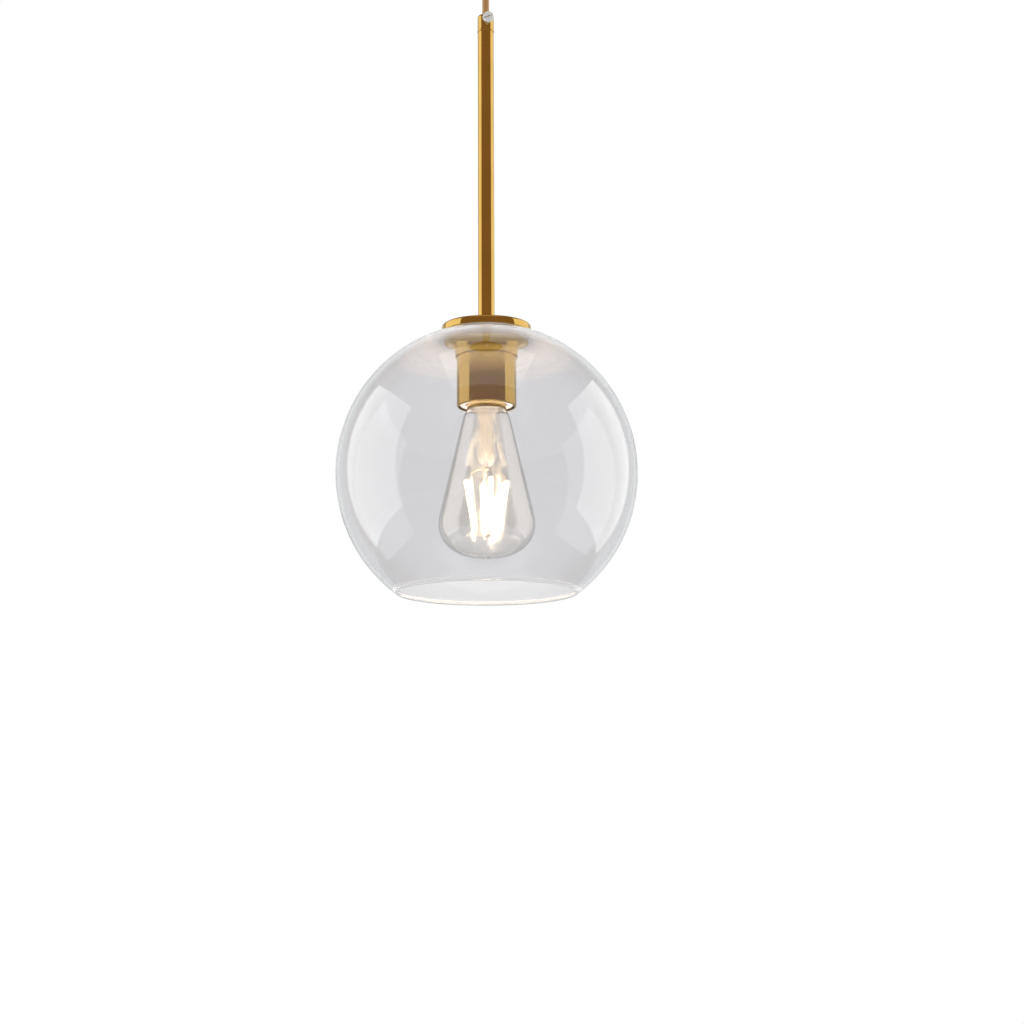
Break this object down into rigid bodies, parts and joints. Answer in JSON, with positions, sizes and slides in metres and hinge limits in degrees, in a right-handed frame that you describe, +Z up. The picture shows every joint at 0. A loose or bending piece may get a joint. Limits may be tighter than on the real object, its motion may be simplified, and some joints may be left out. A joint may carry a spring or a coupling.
{
  "type": "pendant ceiling light",
  "caption": "Ceiling pendant: brass canopy, short cord, brass stem, clear open-bottomed glass globe held by a flared ring on a socket cup, with a screw-in filament bulb.",
  "frame": {"origin": "on the ceiling, at the centre of the canopy's rim", "axes": "+Z up into the ceiling, the lamp hangs down -Z, the lock screws face -Y"},
  "size_m": [0.2, 0.2, 0.4973],
  "materials": {
    "polished_brass": "mirror-polished, clear lacquer",
    "zinc_steel": "zinc-plated",
    "clear_plastic": "clear moulded nylon",
    "white_plastic": "moulded",
    "terminal_brass": "machined, bare",
    "amber_sheath": "smooth extruded sheath",
    "live_core": "extruded",
    "neutral_core": "extruded",
    "earth_core": "extruded, two-colour stripe",
    "silicone": "translucent silicone",
    "clear_glass": "blown, fire-polished mouth",
    "porcelain": "white glaze",
    "bulb_glass": "blown, clear",
    "cap_brass": "rolled thread",
    "black_insulator": "vitrified black glass",
    "solder": "domed solder",
    "lit_filament": "phosphor-coated strip, lit warm white",
    "filament_wire": "drawn nickel wire"
  },
  "bodies": {
    "canopy": {"mounting_bracket": "zinc_steel", "canopy": "polished_brass", "canopy_side_screws": "polished_brass", "terminal_block": "white_plastic", "terminal_clamp_live": "terminal_brass", "terminal_clamp_neutral": "terminal_brass", "terminal_screws": "zinc_steel", "block_screw": "zinc_steel", "earth_screw": "zinc_steel", "canopy_grip": "polished_brass", "canopy_nut": "zinc_steel", "cord_in_canopy": "amber_sheath", "canopy_core_live": "live_core", "canopy_core_neutral": "neutral_core", "canopy_core_earth": "earth_core"},
    "canopy_lock_screw": {"canopy_grip_lock_screw": "clear_plastic"},
    "cord": {"cord": "amber_sheath"},
    "pendant": {"stem_grip": "polished_brass", "cord_in_stem": "amber_sheath", "stem": "polished_brass", "nipple": "zinc_steel", "nipple_nut": "zinc_steel", "top_cap": "polished_brass", "socket_cup": "polished_brass", "upper_gasket": "silicone", "lampholder_body": "porcelain", "screw_liner": "terminal_brass", "centre_contact": "terminal_brass", "live_terminal": "terminal_brass", "neutral_terminal": "terminal_brass", "holder_terminal_screws": "zinc_steel", "holder_strap": "zinc_steel", "strap_screws": "zinc_steel", "holder_earth_screw": "zinc_steel", "holder_core_live": "live_core", "holder_core_neutral": "neutral_core", "holder_core_earth": "earth_core"},
    "stem_lock_screw": {"stem_grip_lock_screw": "clear_plastic"},
    "shade": {"glass_globe": "clear_glass", "shade_ring": "polished_brass", "lower_gasket": "silicone"},
    "bulb_tip": {"bulb_tip_contact": "solder"},
    "bulb": {"bulb_shell": "cap_brass", "bulb_insulator": "black_insulator", "bulb_envelope": "bulb_glass", "glass_mount": "bulb_glass", "led_filaments": "lit_filament", "filament_hanger": "filament_wire", "filament_foot": "filament_wire"}
  },
  "joints": [
    {"name": "cord_swing", "type": "hinge", "parent": "canopy", "child": "cord", "pos_m": [0, 0, -0.03965], "axis": [1, 0, 0], "range_deg": [-30, 30]},
    {"name": "stem_sway", "type": "hinge", "parent": "cord", "child": "pendant", "pos_m": [0, 0, -0.09435], "axis": [0, 1, 0], "range_deg": [-30, 30]},
    {"name": "shade_drop", "type": "slide", "parent": "pendant", "child": "shade", "axis": [0, 0, -1], "range_m": [0, 0.045]},
    {"name": "bulb_travel", "type": "slide", "parent": "pendant", "child": "bulb_tip", "axis": [0, 0, -1], "range_m": [0, 0.0255]},
    {"name": "bulb_turn", "type": "hinge", "parent": "bulb_tip", "child": "bulb", "pos_m": [0, 0, -0.374], "axis": [0, 0, -1], "range_deg": [0, 2520]},
    {"name": "canopy_lock", "type": "slide", "parent": "canopy", "child": "canopy_lock_screw", "axis": [0.2588, -0.9659, 0], "range_m": [0, 0.003]},
    {"name": "stem_lock", "type": "slide", "parent": "pendant", "child": "stem_lock_screw", "axis": [0.2588, -0.9659, 0], "range_m": [0, 0.003]}
  ],
  "couplings": [
    {"joint": "bulb_travel", "follows": "bulb_turn", "m_per_rad": 0.00057757}
  ]
}
